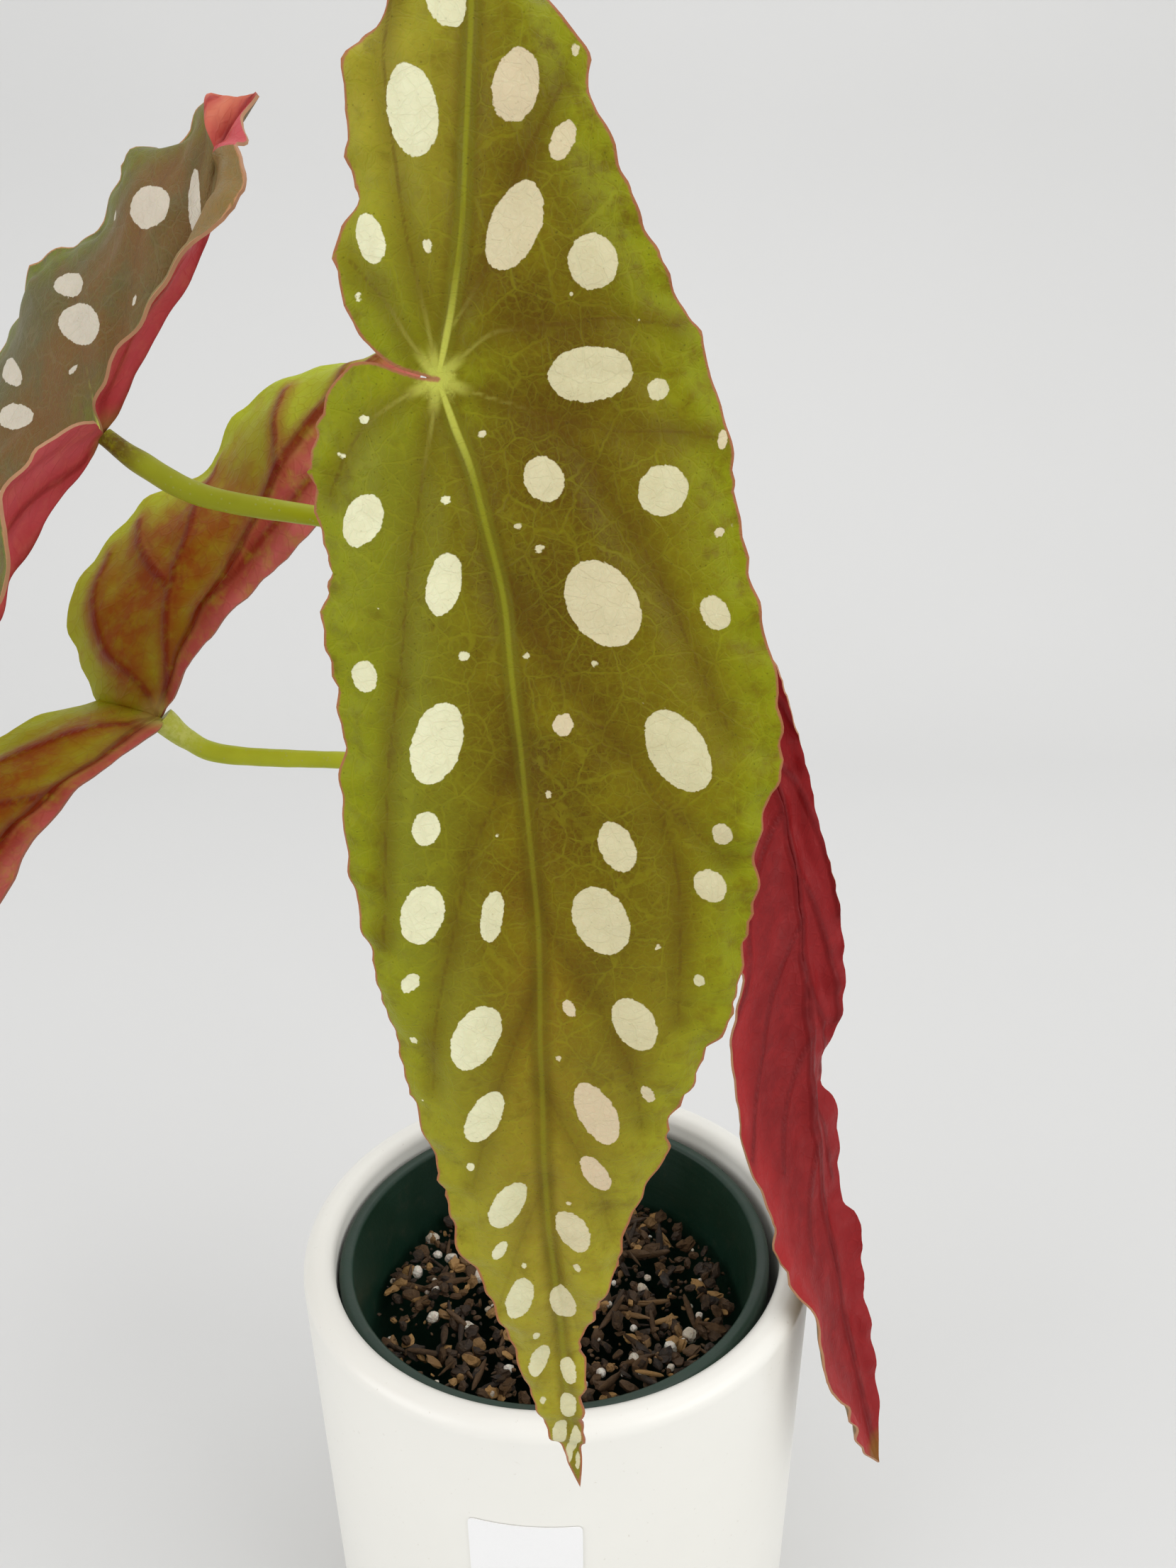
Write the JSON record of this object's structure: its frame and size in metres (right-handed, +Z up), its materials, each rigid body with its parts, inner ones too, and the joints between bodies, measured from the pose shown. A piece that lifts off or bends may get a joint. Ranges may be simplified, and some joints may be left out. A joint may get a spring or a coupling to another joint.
{
  "type": "potted polka dot begonia",
  "caption": "Cane plant with long pointed spotted leaves on arching stalks, rooted in a nursery pot that stands in a round white ceramic pot cover.",
  "frame": {"origin": "middle of the ceramic pot's base, on the surface it stands on", "axes": "+Z up along the cane, -Y towards the front leaf's upper face, +X to its right"},
  "size_m": [0.2451, 0.142, 0.3545],
  "materials": {
    "ceramic_pot": "satin white glaze",
    "pot_label": "blank white matt paper",
    "nursery_pot": "dark green-black moulded plastic",
    "potting_soil": "dark moist bark and peat mix with pale perlite grains",
    "main_cane": "green-brown cane with ringed nodes",
    "growing_tip": "soft young growth",
    "petiole": "smooth yellow-green stalk",
    "blade_front": "satin olive leaf with pale spots",
    "blade_upper_left": "satin grey-green leaf with pale spots, red below",
    "blade_lower_left": "leaf seen from below, green edge and red middle",
    "blade_right": "leaf with a red underside"
  },
  "bodies": {
    "root": {"ceramic_pot": "ceramic_pot", "pot_label": "pot_label", "nursery_pot": "nursery_pot", "potting_soil": "potting_soil", "main_cane": "main_cane", "growing_tip": "growing_tip", "petiole_front": "petiole", "blade_front": "blade_front", "petiole_upper_left": "petiole", "blade_upper_left": "blade_upper_left", "petiole_lower_left": "petiole", "blade_lower_left": "blade_lower_left", "petiole_right": "petiole", "blade_right": "blade_right"}
  },
  "joints": []
}
